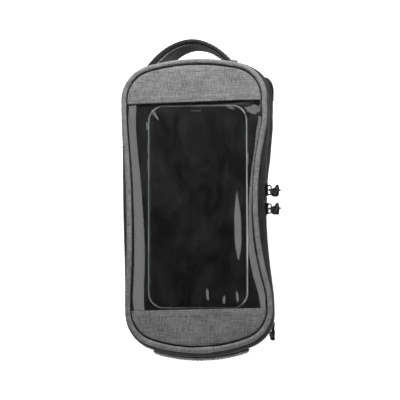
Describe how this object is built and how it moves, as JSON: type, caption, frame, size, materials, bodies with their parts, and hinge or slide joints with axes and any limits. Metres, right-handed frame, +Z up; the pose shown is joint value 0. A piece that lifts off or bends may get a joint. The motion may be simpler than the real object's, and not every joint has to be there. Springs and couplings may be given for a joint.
{
  "type": "motorcycle tank bag",
  "caption": "Soft motorcycle tank bag with a waisted hinged lid, clear phone window, magnetic base, zip sliders and carry handle.",
  "frame": {"origin": "centre of the base's flat underside, on the surface that the bag rests on", "axes": "+X to the bag's right side, where the zip sliders and the mesh pocket are; +Y to the front end with the carry handle and the lid's hinge; +Z up through the phone window"},
  "size_m": [0.1242, 0.2566, 0.0713],
  "materials": {
    "grip_rubber": "matt, fine pebbled",
    "black_fabric": "woven polyester, matt",
    "heather_fabric": "heather grey weave, matt",
    "piping_fabric": "grey woven tape over a cord, matt",
    "lining_fabric": "smooth lining cloth",
    "black_webbing": "ribbed webbing",
    "mesh_fabric": "open stretch mesh",
    "zip_tape": "woven zip tape",
    "zip_teeth": "nylon coil, satin",
    "fastener_tape": "hook and loop tape",
    "clear_film": "soft clear film, glossy",
    "board_plastic": "plain sheet",
    "magnet_steel": "nickel plated",
    "slider_metal": "black lacquer, satin",
    "pull_cord": "braided cord",
    "pull_end": "moulded, satin",
    "phone_frame": "satin metal rim",
    "phone_glass": "black gloss"
  },
  "bodies": {
    "bag": {"base_grip_sheet": "grip_rubber", "base_shell": "black_fabric", "base_seam_cord": "black_fabric", "base_stiffener": "board_plastic", "magnet_front_left": "magnet_steel", "magnet_front_right": "magnet_steel", "magnet_rear_left": "magnet_steel", "magnet_rear_right": "magnet_steel", "compartment_floor": "lining_fabric", "side_wall": "black_fabric", "wall_lining": "lining_fabric", "rear_patch": "heather_fabric", "handle_anchor_left": "black_webbing", "handle_anchor_right": "black_webbing", "mesh_pocket": "mesh_fabric", "pocket_hem": "black_webbing", "pocket_end_tab": "black_fabric", "lower_zip_tape": "zip_tape", "lower_zip_teeth": "zip_teeth", "hinge_strip_lower": "black_fabric"},
    "lid": {"hinge_strip_upper": "black_fabric", "upper_zip_teeth": "zip_teeth", "upper_zip_tape": "zip_tape", "lid_band": "black_fabric", "lid_piping": "piping_fabric", "lid_panel_front": "heather_fabric", "lid_panel_rear": "heather_fabric", "window_film": "clear_film", "phone_pocket_back": "black_fabric", "lid_lining": "lining_fabric", "pocket_mouth_strip": "black_fabric", "loop_tape": "fastener_tape"},
    "handle": {"carry_handle": "black_webbing"},
    "flap": {"pocket_flap": "lining_fabric", "hook_tape": "fastener_tape"},
    "phone": {"phone_frame": "phone_frame", "phone_glass": "phone_glass"},
    "front_slider": {"front_slider_body": "slider_metal"},
    "rear_slider": {"rear_slider_body": "slider_metal"},
    "front_pull": {"front_slider_tab": "slider_metal", "front_slider_cord": "pull_cord", "front_slider_knot": "pull_end"},
    "rear_pull": {"rear_slider_tab": "slider_metal", "rear_slider_cord": "pull_cord", "rear_slider_knot": "pull_end"}
  },
  "joints": [
    {"name": "lid_hinge", "type": "hinge", "parent": "bag", "child": "lid", "pos_m": [0, 0.1135, 0.052], "axis": [-1, 0, 0], "range_deg": [0, 105]},
    {"name": "handle_swing", "type": "hinge", "parent": "bag", "child": "handle", "pos_m": [-0.0053, 0.113, 0.028], "axis": [1, 0, 0], "range_deg": [-12, 12]},
    {"name": "flap_hinge", "type": "hinge", "parent": "lid", "child": "flap", "pos_m": [0, -0.083, 0.0544], "axis": [1, 0, 0], "range_deg": [0, 75]},
    {"name": "phone_slide", "type": "slide", "parent": "lid", "child": "phone", "axis": [0, 1, 0], "range_m": [-0.008, 0.018]},
    {"name": "front_slider_travel", "type": "hinge", "parent": "bag", "child": "front_slider", "pos_m": [0.52551, -0.004, 0.052], "axis": [0, 0, -1], "range_deg": [0, 4.2]},
    {"name": "rear_slider_travel", "type": "hinge", "parent": "bag", "child": "rear_slider", "pos_m": [0.52551, -0.004, 0.052], "axis": [0, 0, 1], "range_deg": [0, 6.1]},
    {"name": "front_pull_swing", "type": "hinge", "parent": "front_slider", "child": "front_pull", "pos_m": [0.05597, 0.01088, 0.052], "axis": [0, 0, 1], "range_deg": [-12, 55]},
    {"name": "rear_pull_swing", "type": "hinge", "parent": "rear_slider", "child": "rear_pull", "pos_m": [0.05573, -0.0035, 0.052], "axis": [0, 0, -1], "range_deg": [-12, 55]}
  ]
}
